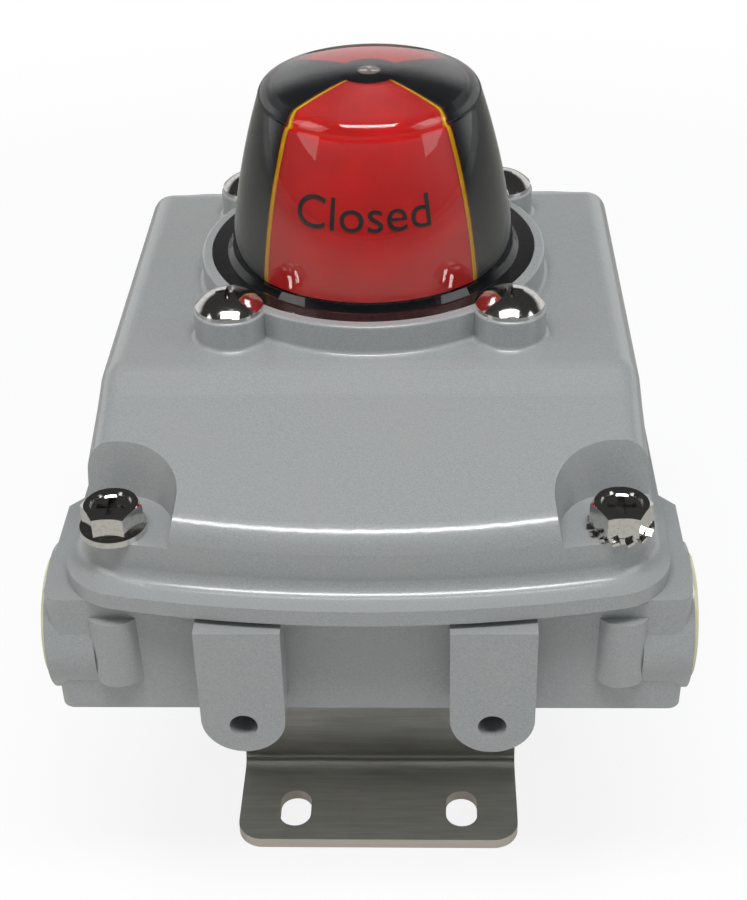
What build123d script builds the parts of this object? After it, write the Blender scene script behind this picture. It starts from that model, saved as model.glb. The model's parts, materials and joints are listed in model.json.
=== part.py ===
from build123d import *
import math
import os

os.makedirs("parts", exist_ok=True)

# A valve limit switch box: a die-cast box with a domed position indicator, on a folded bracket.
# Millimetres. The origin is where the drive shaft's axis meets the plane of the bracket's feet.
# +Z points up the shaft, and the front, with the two lugs, faces -Y.

# Bracket, to the 80 x 30 actuator pattern
sheet = 2.0
bracket_width = 50.0
bracket_wall_y = 28.0
foot_end_y = 47.6
slot_pitch_x = 30.0
slot_pitch_y = 80.0
slot_width = 5.6
slot_length = 8.6
bend_radius = 3.0

# Heights of the box
underside_z = 46.3
floor_z = 50.0
parting_z = 68.0
rim_top_z = 70.6
pocket_z = 76.8
shoulder_z = 80.2
plateau_z = 90.5
well_z = 92.0
seal_seat_z = 93.4
collar_top_z = 95.6
dome_top_z = 127.0

# Plan of the box; its middle lies in front of the shaft
middle_y = -7.0
rim_half_width = 45.5
rim_half_length = 61.0
bow_radius = 180.0
wall = 3.0
gasket_depth = 1.2
block_half_width = 48.5
block_front_y = -62.0

# Cover bolts, M5
bolt_x = 37.5
bolt_reach_y = 49.0
bolt_radius = 2.5
bolt_head_flats = 8.0
washer_radius = 5.0
washer_thickness = 1.0
play = 0.05

# Lugs with M5 threads
lug_x = 18.8
lug_width = 12.8
lug_face_y = 61.5
lug_depth = 8.0
lug_hole_z = 48.8
rear_lug_hole_z = 48.0
lug_top_z = 66.9
lug_thread_radius = 2.15

# Cable ports
port_y = -51.5
port_z = 56.8
port_radius = 9.3
port_pad = 0.5

# Shaft
journal_radius = 6.0
running_play = 0.05
shaft_end_z = 26.0
tongue_height = 4.0
tongue_thickness = 3.9
tongue_width = 9.0
shaft_end_radius = 5.5
shaft_step_z = 45.0
bush_radius = 8.0

# Indicator
collar_radius = 29.0
seal_outer_radius = 27.1
dome_screw_reach = 22.25
dome_screw_radius = 2.0
window_half_angle = 43.5
panel_half_angle = 41.0


def mirrored_y(y):
    """The same place on the other side of the box's middle."""
    return 2 * middle_y - y


bolt_places = [
    (side * bolt_x, middle_y + end * bolt_reach_y) for side in (-1, 1) for end in (-1, 1)
]
dome_screw_places = [
    (i * dome_screw_reach, j * dome_screw_reach) for i in (-1, 1) for j in (-1, 1)
]
bracket_bolt_places = [(i * 16.0, j * 16.0) for i in (-1, 1) for j in (-1, 1)]
plate_post_places = [(i * 20.0, y) for i in (-1, 1) for y in (-8.0, 38.0)]
board_post_places = [(i * 25.0, y) for i in (-1, 1) for y in (-47.0, -27.0)]


def bowed_outline(half_width, half_length, corner):
    """A rounded rectangle whose front and rear edges bow outwards."""
    sag = bow_radius - math.sqrt(bow_radius**2 - half_width**2)
    front = middle_y - half_length
    rear = middle_y + half_length
    with BuildLine() as edge:
        ThreePointArc((-half_width, front + sag), (0, front), (half_width, front + sag))
        Line((half_width, front + sag), (half_width, rear - sag))
        ThreePointArc((half_width, rear - sag), (0, rear), (-half_width, rear - sag))
        Line((-half_width, rear - sag), (-half_width, front + sag))
    make_face(edge.edges())
    fillet(vertices(), corner)


# The inside of the box at the parting plane, with its corners cut round the cover bolts
corner_boss = 7.2
pocket_radius = 8.6
pocket_taper = 12.0
with BuildSketch() as cavity:
    with Locations((0, middle_y)):
        Rectangle(2 * (bolt_x + 2.2), 2 * (bolt_reach_y + 2.2))
    with Locations(*bolt_places):
        Circle(corner_boss, mode=Mode.SUBTRACT)
    for x, y in bolt_places:
        outward = (math.copysign(corner_boss, x), math.copysign(corner_boss, y - middle_y))
        with Locations((x + outward[0], y + outward[1])):
            Rectangle(2 * corner_boss, 2 * corner_boss, mode=Mode.SUBTRACT)
    fillet(vertices(), 1.5)

with BuildSketch() as gasket_ring:
    offset(cavity.sketch, amount=3.4, mode=Mode.ADD)
    offset(cavity.sketch, amount=1.2, mode=Mode.SUBTRACT)


# ---------------------------------------------------------------- housing

with BuildPart() as base_housing:
    with BuildSketch(Plane.XY.offset(parting_z)):
        bowed_outline(rim_half_width - 0.2, rim_half_length - 6.6, 9.0)
    extrude(amount=underside_z - parting_z, taper=1.5)
    with BuildSketch(Plane.XY.offset(parting_z)):
        with BuildLine():
            Polyline(
                (-block_half_width, block_front_y),
                (block_half_width, block_front_y),
                (block_half_width, -38.0),
                (rim_half_width - 1.5, -33.0),
                (-rim_half_width + 1.5, -33.0),
                (-block_half_width, -38.0),
                close=True,
            )
        make_face()
        fillet(vertices().group_by(Axis.Y)[0], 2.5)
    extrude(amount=underside_z - parting_z, taper=1.0)
    # the ledge that carries the cover's rim, and the band under it
    with BuildSketch(Plane.XY.offset(64.4)):
        bowed_outline(42.8, rim_half_length - 3.8, 3.0)
    extrude(amount=parting_z - 64.4)
    # columns round the cover bolts' threads
    for x, y in bolt_places:
        with BuildSketch(Plane.XY.offset(52.4)):
            with Locations((x + math.copysign(0.8, x), y + math.copysign(3.4, y - middle_y))):
                Circle(4.4)
        extrude(amount=64.5 - 52.4)
    # four lugs with flat faces and round tips
    for end, hole_z in ((-1, lug_hole_z), (1, rear_lug_hole_z)):
        face_y = middle_y + end * lug_face_y
        tip_z = hole_z + 1.2
        lug_plane = Plane(origin=(0, face_y, 0), x_dir=(-end, 0, 0), z_dir=(0, end, 0))
        with BuildSketch(lug_plane):
            for x in (-lug_x, lug_x):
                with Locations((x, (lug_top_z + tip_z) / 2)):
                    Rectangle(lug_width, lug_top_z - tip_z)
                with Locations((x, tip_z)):
                    Circle(lug_width / 2)
        extrude(amount=-lug_depth)
    # pads round the cable ports
    for side in (-1, 1):
        port_plane = Plane(origin=(0, port_y, port_z), x_dir=(0, side, 0), z_dir=(side, 0, 0))
        with BuildSketch(port_plane.offset(rim_half_width - 4.0)):
            Circle(port_radius + 2.0)
            with Locations((0, (underside_z + parting_z) / 2 - port_z)):
                Rectangle(40.0, parting_z - underside_z, mode=Mode.INTERSECT)
        extrude(amount=block_half_width + port_pad - rim_half_width + 4.0)
    # hollow inside
    with BuildSketch(Plane.XY.offset(floor_z)):
        add(cavity.sketch)
    extrude(amount=parting_z - floor_z, mode=Mode.SUBTRACT)
    # bosses on the floor
    with BuildSketch(Plane.XY.offset(underside_z)):
        Circle(11.0)
    extrude(amount=55.0 - underside_z)
    with BuildSketch(Plane.XY.offset(floor_z)):
        with Locations(*bracket_bolt_places):
            Circle(5.0)
        with Locations(*plate_post_places):
            Circle(3.5)
    extrude(amount=54.5 - floor_z)
    with BuildSketch(Plane.XY.offset(floor_z)):
        with Locations(*board_post_places):
            Circle(3.0)
        with Locations((-30.0, -8.0)):
            Circle(4.5)
    extrude(amount=58.0 - floor_z)
    # groove for the gasket
    with BuildSketch(Plane.XY.offset(parting_z)):
        add(gasket_ring.sketch)
    extrude(amount=-gasket_depth, mode=Mode.SUBTRACT)
    # bores of the cable ports
    for side in (-1, 1):
        port_plane = Plane(origin=(0, port_y, port_z), x_dir=(0, side, 0), z_dir=(side, 0, 0))
        with BuildSketch(port_plane.offset(30.0)):
            Circle(port_radius)
        extrude(amount=30.0, mode=Mode.SUBTRACT)
    # drive shaft bore, threads and fixing holes
    with Locations((0, 0, underside_z)):
        Hole(bush_radius + play, depth=60.0)
    with Locations(*[(x, y, parting_z) for x, y in bolt_places]):
        Hole(bolt_radius + play, depth=13.0)
    for x, y in bracket_bolt_places:
        with BuildSketch(Plane.XY.offset(underside_z)):
            with Locations((x, y)):
                Circle(bolt_radius + play)
        extrude(amount=6.2, mode=Mode.SUBTRACT)
    with Locations(*[(x, y, 54.5) for x, y in plate_post_places]):
        Hole(1.5 + play, depth=5.0)
    with Locations(*[(x, y, 58.0) for x, y in board_post_places]):
        Hole(1.5 + play, depth=5.0)
    with Locations((-30.0, -8.0, 58.0)):
        Hole(2.0 + play, depth=6.5)
    for end, hole_z in ((-1, lug_hole_z), (1, rear_lug_hole_z)):
        face_y = middle_y + end * lug_face_y
        lug_plane = Plane(origin=(0, face_y, 0), x_dir=(-end, 0, 0), z_dir=(0, end, 0))
        with BuildSketch(lug_plane):
            with Locations((-lug_x, hole_z), (lug_x, hole_z)):
                Circle(lug_thread_radius)
        extrude(amount=-lug_depth, mode=Mode.SUBTRACT)
base_housing.part.label = "base_housing"
export_step(base_housing.part, "parts/base_housing.step")

# ---------------------------------------------------------------- cover

top_line = [(-62.5, shoulder_z), (-37.0, 88.1), (-31.5, plateau_z), (31.0, plateau_z), (49.0, shoulder_z)]


def crown_outline(lower, reach):
    """The region above the cover's top line, seen from the side, lowered for the inside."""
    (y0, z0), (y1, z1), (y2, z2), (y3, z3), (y4, z4) = top_line
    with BuildLine() as edge:
        Polyline(
            (y0 - reach, z0 - reach * (z1 - z0) / (y1 - y0) - lower),
            (y1, z1 - lower),
            (y2, z2 - lower),
            (y3, z3 - lower),
            (y4 + reach, z4 + reach * (z4 - z3) / (y4 - y3) - lower),
            (y4 + reach, 120),
            (y0 - reach, 120),
            close=True,
        )
    make_face(edge.edges())
    middle = vertices().sort_by(Axis.Y)[2:5]
    fillet(middle, 6.0)


with BuildPart() as cover_hollow:
    with BuildSketch(Plane.XY.offset(parting_z)):
        add(cavity.sketch)
    extrude(amount=24.0, taper=2.0)
    with BuildSketch(Plane.YZ):
        crown_outline(wall, 20.0)
    extrude(amount=70.0, both=True, mode=Mode.SUBTRACT)
    with BuildSketch(Plane.XY.offset(pocket_z - wall)):
        with Locations(*bolt_places):
            Circle(pocket_radius + wall)
    extrude(amount=20.0, taper=-pocket_taper, mode=Mode.SUBTRACT)

with BuildPart() as cover:
    with BuildSketch(Plane.XY.offset(parting_z)):
        bowed_outline(rim_half_width - 2.5, rim_half_length - 4.4, 8.5)
    extrude(amount=26.0, taper=2.0)
    with BuildSketch(Plane.YZ):
        crown_outline(0, 20.0)
    extrude(amount=70.0, both=True, mode=Mode.SUBTRACT)
    top_edges = edges().filter_by(lambda e: e.center().Z > shoulder_z - 5)
    top_edges = top_edges.filter_by(lambda e: abs(e.center().X) > 5 or abs(e.center().Y) > 40)
    fillet(top_edges, 4.0)
    with BuildSketch(Plane.XY.offset(parting_z)):
        bowed_outline(rim_half_width, rim_half_length, 10.0)
    extrude(amount=rim_top_z - parting_z)
    rim_top = faces().filter_by(Axis.Z).filter_by_position(Axis.Z, rim_top_z - 0.01, rim_top_z + 0.01)
    wall_foot = rim_top.sort_by(SortBy.AREA)[-1].inner_wires()[0].edges()
    fillet(wall_foot, 2.2)
    # pockets for the cover bolts, open towards the corner
    with BuildSketch(Plane.XY.offset(pocket_z)):
        for x, y in bolt_places:
            with Locations((x, y)):
                Circle(pocket_radius)
            out_x = math.copysign(15.0, x)
            out_y = math.copysign(15.0, y - middle_y)
            with Locations((x + out_x - math.copysign(pocket_radius, x), y + out_y)):
                Rectangle(30.0, 30.0)
            with Locations((x + out_x, y + out_y - math.copysign(pocket_radius, y - middle_y))):
                Rectangle(30.0, 30.0)
    extrude(amount=20.0, taper=-pocket_taper, mode=Mode.SUBTRACT)
    # collar with four screw bosses
    with BuildSketch(Plane.XY.offset(plateau_z - 1.0)):
        Circle(collar_radius)
        with Locations(*dome_screw_places):
            Circle(5.8)
    extrude(amount=collar_top_z - plateau_z + 1.0)
    plateau = faces().filter_by(Axis.Z).filter_by_position(Axis.Z, plateau_z - 0.01, plateau_z + 0.01)
    fillet(plateau.sort_by(SortBy.AREA)[-1].inner_wires()[0].edges(), 0.8)
    fillet(faces().sort_by(Axis.Z)[-1].outer_wire().edges(), 0.5)
    # hollow inside, with a boss for the upper bush
    add(cover_hollow.part, mode=Mode.SUBTRACT)
    with BuildSketch(Plane.XY.offset(83.0)):
        Circle(11.0)
    extrude(amount=well_z - 83.0)
    with Locations((0, 0, collar_top_z)):
        Hole(seal_outer_radius + 0.2, depth=collar_top_z - seal_seat_z)
        Hole(24.0, depth=collar_top_z - well_z)
        Hole(bush_radius + play, depth=30.0)
    with Locations(*[(x, y, pocket_z) for x, y in bolt_places]):
        Hole(bolt_radius + 0.25, depth=20.0)
    with Locations(*[(x, y, collar_top_z) for x, y in dome_screw_places]):
        Hole(dome_screw_radius + play, depth=7.0)
cover.part.label = "cover"
export_step(cover.part, "parts/cover.step")

with BuildPart() as cover_gasket:
    with BuildSketch(Plane.XY.offset(parting_z - gasket_depth)):
        offset(cavity.sketch, amount=3.35, mode=Mode.ADD)
        offset(cavity.sketch, amount=1.25, mode=Mode.SUBTRACT)
    extrude(amount=gasket_depth)
cover_gasket.part.label = "cover_gasket"
export_step(cover_gasket.part, "parts/cover_gasket.step")

# ---------------------------------------------------------------- cover bolts and washers


def cross_recess(reach, width):
    """The outline of a cross-shaped driver recess."""
    Rectangle(2 * reach, width)
    Rectangle(width, 2 * reach)


def ring(outer, inner):
    Circle(outer)
    Circle(inner, mode=Mode.SUBTRACT)


bolt_head_height = 3.6
bolt_length = 20.0
head_z = pocket_z + washer_thickness
head_top_z = head_z + bolt_head_height

with BuildPart() as cover_bolt:
    with BuildSketch(Plane.XY.offset(head_z)):
        RegularPolygon(bolt_head_flats / 2, 6, major_radius=False)
    extrude(amount=bolt_head_height)
    with BuildSketch(Plane.XZ):
        with BuildLine():
            Polyline((4.05, head_top_z), (6.0, head_top_z), (6.0, head_top_z - 1.1), close=True)
        make_face()
    revolve(axis=Axis.Z, mode=Mode.SUBTRACT)
    with BuildSketch(Plane.XY.offset(head_top_z)):
        Circle(3.1)
    extrude(amount=-0.5, taper=20, mode=Mode.SUBTRACT)
    with BuildSketch(Plane.XY.offset(head_top_z - 0.5)):
        cross_recess(2.1, 1.1)
    extrude(amount=-1.6, taper=8, mode=Mode.SUBTRACT)
    with BuildSketch(Plane.XY.offset(head_z)):
        Circle(bolt_radius)
    extrude(amount=-bolt_length)

with BuildPart() as cover_bolts:
    for x, y in bolt_places:
        with Locations((x, y)):
            add(cover_bolt.part)
cover_bolts.part.label = "cover_bolts"
export_step(cover_bolts.part, "parts/cover_bolts.step")

toothed_place = (bolt_x, middle_y - bolt_reach_y)

with BuildPart() as bolt_washers:
    with BuildSketch(Plane.XY.offset(pocket_z)):
        for place in bolt_places:
            if place != toothed_place:
                with Locations(place):
                    ring(washer_radius, bolt_radius + 0.2)
    extrude(amount=washer_thickness)
bolt_washers.part.label = "bolt_washers"
export_step(bolt_washers.part, "parts/bolt_washers.step")

with BuildPart() as tooth_lock_washer:
    with BuildSketch(Plane.XY.offset(pocket_z)):
        with Locations(toothed_place):
            ring(4.1, bolt_radius + 0.2)
    extrude(amount=washer_thickness)
    teeth = 14
    for i in range(teeth):
        turn = 360.0 / teeth * i
        root = Location((*toothed_place, pocket_z + 0.5), (0, 0, turn))
        tooth_plane = Plane(root * Location((3.4, 0, 0), (28, 0, 0)) * Location((0, 0, 0), (0, 90, 0)))
        with BuildSketch(tooth_plane):
            Rectangle(0.5, 1.15)
        extrude(amount=1.6)
tooth_lock_washer.part.label = "tooth_lock_washer"
export_step(tooth_lock_washer.part, "parts/tooth_lock_washer.step")

# ---------------------------------------------------------------- dome and indicator


def side_points(inward):
    """Foot, middle and top of the dome's side, moved inwards by this much."""
    return (23.7 - inward, 96.6), (21.5 - inward, 110.0), (18.1 - inward, 122.6 - 0.7 * inward)


with BuildPart() as dome:
    with BuildSketch(Plane.XZ):
        with BuildLine():
            outer_foot, outer_middle, outer_top = side_points(0)
            inner_foot, inner_middle, inner_top = side_points(2.0)
            Polyline((inner_foot[0], 94.4), (seal_outer_radius, 94.4), (seal_outer_radius, collar_top_z))
            Line((seal_outer_radius, collar_top_z), (24.6, collar_top_z))
            Line((24.6, collar_top_z), outer_foot)
            ThreePointArc(outer_foot, outer_middle, outer_top)
            ThreePointArc(outer_top, (17.5, 123.9), (16.2, 124.6))
            TangentArc((0, dome_top_z), (16.2, 124.6), tangent=(1, 0))
            Line((0, dome_top_z), (0, dome_top_z - 1.8))
            TangentArc((0, dome_top_z - 1.8), (15.0, 123.0), tangent=(1, 0))
            ThreePointArc((15.0, 123.0), (15.8, 122.4), inner_top)
            ThreePointArc(inner_top, inner_middle, inner_foot)
            Line(inner_foot, (inner_foot[0], 94.4))
        make_face()
    revolve(axis=Axis.Z)
dome.part.label = "dome"
export_step(dome.part, "parts/dome.step")

with BuildPart() as dome_seal:
    with BuildSketch(Plane.XY.offset(seal_seat_z)):
        ring(seal_outer_radius, 24.2)
    extrude(amount=1.0)
dome_seal.part.label = "dome_seal"
export_step(dome_seal.part, "parts/dome_seal.step")

with BuildPart() as dome_screw:
    with BuildSketch(Plane.XZ):
        with BuildLine():
            Line((0, collar_top_z), (5.45, collar_top_z))
            Line((5.45, collar_top_z), (5.45, collar_top_z + 0.6))
            TangentArc((0, collar_top_z + 3.0), (5.45, collar_top_z + 0.6), tangent=(1, 0))
            Line((0, collar_top_z + 3.0), (0, collar_top_z))
        make_face()
    revolve(axis=Axis.Z)
    with BuildSketch(Plane.XY.offset(collar_top_z + 3.2)):
        cross_recess(2.2, 1.0)
    extrude(amount=-2.2, taper=10, mode=Mode.SUBTRACT)
    with BuildSketch(Plane.XY.offset(collar_top_z)):
        Circle(dome_screw_radius)
    extrude(amount=-6.0)

with BuildPart() as dome_screws:
    for x, y in dome_screw_places:
        with Locations((x, y)):
            add(dome_screw.part)
dome_screws.part.label = "dome_screws"
export_step(dome_screws.part, "parts/dome_screws.step")


def shell_outline(outward, inward, top_z, thickness, hub, foot_z):
    """Half section of a cup that follows the dome: its side, and its top that rises to the middle."""
    outer_foot, outer_middle, outer_top = side_points(outward)
    inner_foot, inner_middle, inner_top = side_points(inward)
    edge_z = top_z - 2.1
    with BuildLine() as edge:
        Line((inner_foot[0], foot_z), (outer_foot[0], foot_z))
        Line((outer_foot[0], foot_z), outer_foot)
        ThreePointArc(outer_foot, outer_middle, (outer_top[0], edge_z - 0.8))
        Line((outer_top[0], edge_z - 0.8), (outer_top[0] - 1.0, edge_z))
        Line((outer_top[0] - 1.0, edge_z), (hub, top_z))
        Line((hub, top_z), (hub, top_z - thickness))
        Line((hub, top_z - thickness), (inner_top[0] - 0.7, edge_z - thickness))
        Line((inner_top[0] - 0.7, edge_z - thickness), (inner_top[0], edge_z - 0.8 - thickness))
        ThreePointArc((inner_top[0], edge_z - 0.8 - thickness), inner_middle, inner_foot)
        Line(inner_foot, (inner_foot[0], foot_z))
    make_face(edge.edges())


def sectors(half_angle, first, reach):
    """Two opposite sectors about the shaft, as a plan outline."""
    for centre in (first, first + 180.0):
        start = math.radians(centre - half_angle)
        end = math.radians(centre + half_angle)
        with BuildLine() as edge:
            Polyline(
                (0, 0),
                (reach * math.cos(start), reach * math.sin(start)),
                (reach * math.cos(end), reach * math.sin(end)),
                close=True,
            )
        make_face(edge.edges())


with BuildPart() as indicator_mask:
    with BuildSketch(Plane.XZ):
        shell_outline(2.4, 3.3, 124.2, 0.9, 3.4, well_z)
    revolve(axis=Axis.Z)
    with BuildSketch(Plane.XY.offset(95.6)):
        sectors(window_half_angle, -90.0, 60.0)
        Circle(4.5, mode=Mode.SUBTRACT)
    extrude(amount=40.0, mode=Mode.SUBTRACT)
    with BuildSketch(Plane.XY.offset(well_z)):
        ring(23.7, 20.4)
    extrude(amount=1.2)
indicator_mask.part.label = "indicator_mask"
export_step(indicator_mask.part, "parts/indicator_mask.step")

rotor_foot_z = 95.8
panel_names = {"red_panels": -90.0, "yellow_panels": 0.0}
for panel_name, first_angle in panel_names.items():
    with BuildPart() as panels:
        with BuildSketch(Plane.XZ):
            shell_outline(3.75, 4.25, 122.85, 0.5, 3.4, rotor_foot_z)
        revolve(axis=Axis.Z)
        with BuildSketch(Plane.XY.offset(90.0)):
            sectors(panel_half_angle, first_angle, 60.0)
        extrude(amount=50.0, mode=Mode.INTERSECT)
    panels.part.label = panel_name
    export_step(panels.part, f"parts/{panel_name}.step")

neck_radius = 4.0
neck_z = 94.0
neck_top_z = 118.0
flat_x = 3.2

with BuildPart() as indicator_rotor:
    with BuildSketch(Plane.XZ):
        shell_outline(4.25, 5.3, 122.35, 1.1, 1.65, rotor_foot_z)
    revolve(axis=Axis.Z)
    with BuildSketch(Plane.XY.offset(neck_z)):
        Circle(6.2)
    extrude(amount=121.6 - neck_z)
    with BuildSketch(Plane.XY.offset(neck_z)):
        Circle(neck_radius + play)
        with Locations((flat_x + play + 5.0, 0)):
            Rectangle(10.0, 10.0, mode=Mode.SUBTRACT)
    extrude(amount=neck_top_z - neck_z + 0.2, mode=Mode.SUBTRACT)
    with Locations((0, 0, 123.0)):
        Hole(1.65, depth=8.0)
indicator_rotor.part.label = "indicator_rotor"
export_step(indicator_rotor.part, "parts/indicator_rotor.step")

with BuildPart() as rotor_screw:
    with BuildSketch(Plane.XY.offset(122.35)):
        Circle(2.75)
    extrude(amount=1.7)
    fillet(edges().sort_by(Axis.Z)[-1], 0.8)
    with BuildSketch(Plane.XY.offset(124.05)):
        cross_recess(1.4, 0.7)
    extrude(amount=-1.0, mode=Mode.SUBTRACT)
    with BuildSketch(Plane.XY.offset(122.35)):
        Circle(1.5)
    extrude(amount=-12.0)
rotor_screw.part.label = "rotor_screw"
export_step(rotor_screw.part, "parts/rotor_screw.step")

# ---------------------------------------------------------------- shaft and cams

shoulder_bottom_z = 57.35
cam_z = 58.85
cam_height = 6.5
cam_gap = 4.0
ring_z = cam_z + 2 * cam_height + cam_gap

with BuildPart() as drive_shaft:
    with BuildSketch(Plane.XY.offset(shaft_end_z)):
        Rectangle(tongue_width, tongue_thickness)
    extrude(amount=tongue_height)
    with BuildSketch(Plane.XY.offset(shaft_end_z + tongue_height)):
        Circle(shaft_end_radius)
    extrude(amount=shaft_step_z - shaft_end_z - tongue_height)
    with BuildSketch(Plane.XY.offset(shaft_step_z)):
        Circle(journal_radius)
    extrude(amount=neck_z - shaft_step_z)
    with BuildSketch(Plane.XY.offset(shoulder_bottom_z)):
        Circle(8.5)
    extrude(amount=cam_z - shoulder_bottom_z)
    with BuildSketch(Plane.XY.offset(neck_z)):
        Circle(neck_radius)
        with Locations((flat_x + 5.0, 0)):
            Rectangle(10.0, 10.0, mode=Mode.SUBTRACT)
    extrude(amount=neck_top_z - neck_z)
    with Locations((0, 0, neck_top_z)):
        Hole(1.55, depth=9.0)
    # spline for the cams
    with BuildSketch(Plane.XY.offset(cam_z)):
        with PolarLocations(journal_radius, 24):
            Rectangle(0.9, 0.7)
    extrude(amount=ring_z - cam_z, mode=Mode.SUBTRACT)
    with BuildSketch(Plane.XY.offset(ring_z)):
        ring(journal_radius + 1.0, 5.3)
    extrude(amount=1.1, mode=Mode.SUBTRACT)
drive_shaft.part.label = "drive_shaft"
export_step(drive_shaft.part, "parts/drive_shaft.step")

with BuildPart() as retaining_ring:
    with BuildSketch(Plane.XY.offset(ring_z)):
        ring(8.3, 5.35)
        with Locations((-7.0, 0)):
            Rectangle(6.0, 5.0, mode=Mode.SUBTRACT)
    extrude(amount=1.0)
retaining_ring.part.label = "retaining_ring"
export_step(retaining_ring.part, "parts/retaining_ring.step")

target_half_angle = 18.0
target_radius = 15.0
cam_radius = 13.0


def around(radius, angle):
    """A point at this radius and angle, in degrees, about the shaft."""
    return radius * math.cos(math.radians(angle)), radius * math.sin(math.radians(angle))


def arc_band(outer, inner, half_angle, centre):
    """A stretch of a ring about the shaft."""
    start = centre - half_angle
    end = centre + half_angle
    with BuildLine() as edge:
        ThreePointArc(around(outer, start), around(outer, centre), around(outer, end))
        Line(around(outer, end), around(inner, end))
        ThreePointArc(around(inner, end), around(inner, centre), around(inner, start))
        Line(around(inner, start), around(outer, start))
    make_face(edge.edges())


# The closed end of travel lies under the sensors in the pose drawn, and the open end a quarter turn away
cams = {"lower": (cam_z, 90.0), "upper": (cam_z + cam_height + cam_gap, 0.0)}
for cam_name, (bottom_z, angle) in cams.items():
    with BuildPart() as cam:
        with BuildSketch(Plane.XY.offset(bottom_z)):
            Circle(cam_radius)
            arc_band(target_radius, cam_radius - 1.0, target_half_angle + 5.0, angle)
            Circle(journal_radius + 0.1, mode=Mode.SUBTRACT)
        extrude(amount=cam_height)
        with BuildSketch(Plane.XY.offset(bottom_z + 1.5)):
            arc_band(target_radius + 1.0, cam_radius, target_half_angle, angle)
        extrude(amount=cam_height - 3.0, mode=Mode.SUBTRACT)
        with BuildSketch(Plane.XY.offset(bottom_z)):
            with PolarLocations(9.6, 6):
                Circle(1.5)
        extrude(amount=cam_height, mode=Mode.SUBTRACT)
    cam.part.label = cam_name + "_cam"
    export_step(cam.part, f"parts/{cam_name}_cam.step")
    with BuildPart() as target:
        with BuildSketch(Plane.XY.offset(bottom_z + 1.5)):
            arc_band(target_radius, cam_radius, target_half_angle, angle)
        extrude(amount=cam_height - 3.0)
    target.part.label = cam_name + "_cam_target"
    export_step(target.part, f"parts/{cam_name}_cam_target.step")

with BuildPart() as cam_spring:
    with BuildLine():
        Helix(pitch=1.45, height=cam_gap - 1.1, radius=7.4, center=(0, 0, cam_z + cam_height + 0.55))
    with BuildSketch(Plane(origin=(7.4, 0, cam_z + cam_height + 0.55), z_dir=(0, 1, 0.03))):
        Circle(0.5)
    sweep(is_frenet=True)
cam_spring.part.label = "cam_spring"
export_step(cam_spring.part, "parts/cam_spring.step")

# ---------------------------------------------------------------- bushes and seals

boss_top_z = 55.0
flange_radius = 9.5
bush_flange = 1.5
bore = journal_radius + running_play

with BuildPart() as lower_bush:
    with BuildSketch(Plane.XY.offset(49.4)):
        ring(bush_radius, bore)
    extrude(amount=boss_top_z - 49.4)
    with BuildSketch(Plane.XY.offset(boss_top_z)):
        ring(flange_radius, bore)
    extrude(amount=bush_flange)
lower_bush.part.label = "lower_bush"
export_step(lower_bush.part, "parts/lower_bush.step")

with BuildPart() as thrust_washer:
    with BuildSketch(Plane.XY.offset(boss_top_z + bush_flange)):
        ring(9.0, bore)
    extrude(amount=0.8)
thrust_washer.part.label = "thrust_washer"
export_step(thrust_washer.part, "parts/thrust_washer.step")

with BuildPart() as upper_bush:
    with BuildSketch(Plane.XY.offset(83.0)):
        ring(bush_radius, bore)
    extrude(amount=89.3 - 83.0)
    with BuildSketch(Plane.XY.offset(83.0)):
        ring(flange_radius, bore)
    extrude(amount=-bush_flange)
upper_bush.part.label = "upper_bush"
export_step(upper_bush.part, "parts/upper_bush.step")

for seal_name, seal_z in {"lower_shaft_seal": 46.9, "upper_shaft_seal": 89.3}.items():
    with BuildPart() as seal:
        with BuildSketch(Plane.XY.offset(seal_z)):
            ring(bush_radius, bore)
        extrude(amount=2.5)
        with BuildSketch(Plane.XY.offset(seal_z if seal_z < floor_z else seal_z + 1.0)):
            ring(bush_radius - 0.6, bore + 0.6)
        extrude(amount=1.5, mode=Mode.SUBTRACT)
    seal.part.label = seal_name
    export_step(seal.part, f"parts/{seal_name}.step")

# ---------------------------------------------------------------- bracket

with BuildPart() as mounting_bracket:
    with BuildSketch(Plane.YZ) as bracket_section:
        with BuildLine() as centre_line:
            half = sheet / 2
            FilletPolyline(
                (-foot_end_y, half),
                (-bracket_wall_y + half, half),
                (-bracket_wall_y + half, underside_z - half),
                (bracket_wall_y - half, underside_z - half),
                (bracket_wall_y - half, half),
                (foot_end_y, half),
                radius=bend_radius,
            )
        trace(centre_line.line, line_width=sheet)
    extrude(amount=bracket_width / 2, both=True)
    end_edges = edges().filter_by(Axis.Z).filter_by(lambda e: abs(e.center().Y) > foot_end_y - 0.5)
    fillet(end_edges, 4.5)
    with BuildSketch(Plane.XY.offset(-1.0)):
        with GridLocations(slot_pitch_x, slot_pitch_y, 2, 2):
            SlotOverall(slot_length, slot_width, rotation=90)
    extrude(amount=sheet + 2.0, mode=Mode.SUBTRACT)
    with BuildSketch(Plane.XY.offset(underside_z - sheet - 1.0)):
        Circle(13.0)
        with Locations(*bracket_bolt_places):
            Circle(bolt_radius + 0.25)
    extrude(amount=sheet + 2.0, mode=Mode.SUBTRACT)
mounting_bracket.part.label = "mounting_bracket"
export_step(mounting_bracket.part, "parts/mounting_bracket.step")

bracket_head_z = underside_z - sheet - washer_thickness
with BuildPart() as bracket_bolts:
    with BuildSketch(Plane.XY.offset(bracket_head_z)):
        with Locations(*bracket_bolt_places):
            RegularPolygon(bolt_head_flats / 2, 6, major_radius=False)
    extrude(amount=-3.5)
    with BuildSketch(Plane.XY.offset(bracket_head_z)):
        with Locations(*bracket_bolt_places):
            Circle(bolt_radius)
    extrude(amount=8.2)
bracket_bolts.part.label = "bracket_bolts"
export_step(bracket_bolts.part, "parts/bracket_bolts.step")

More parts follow.
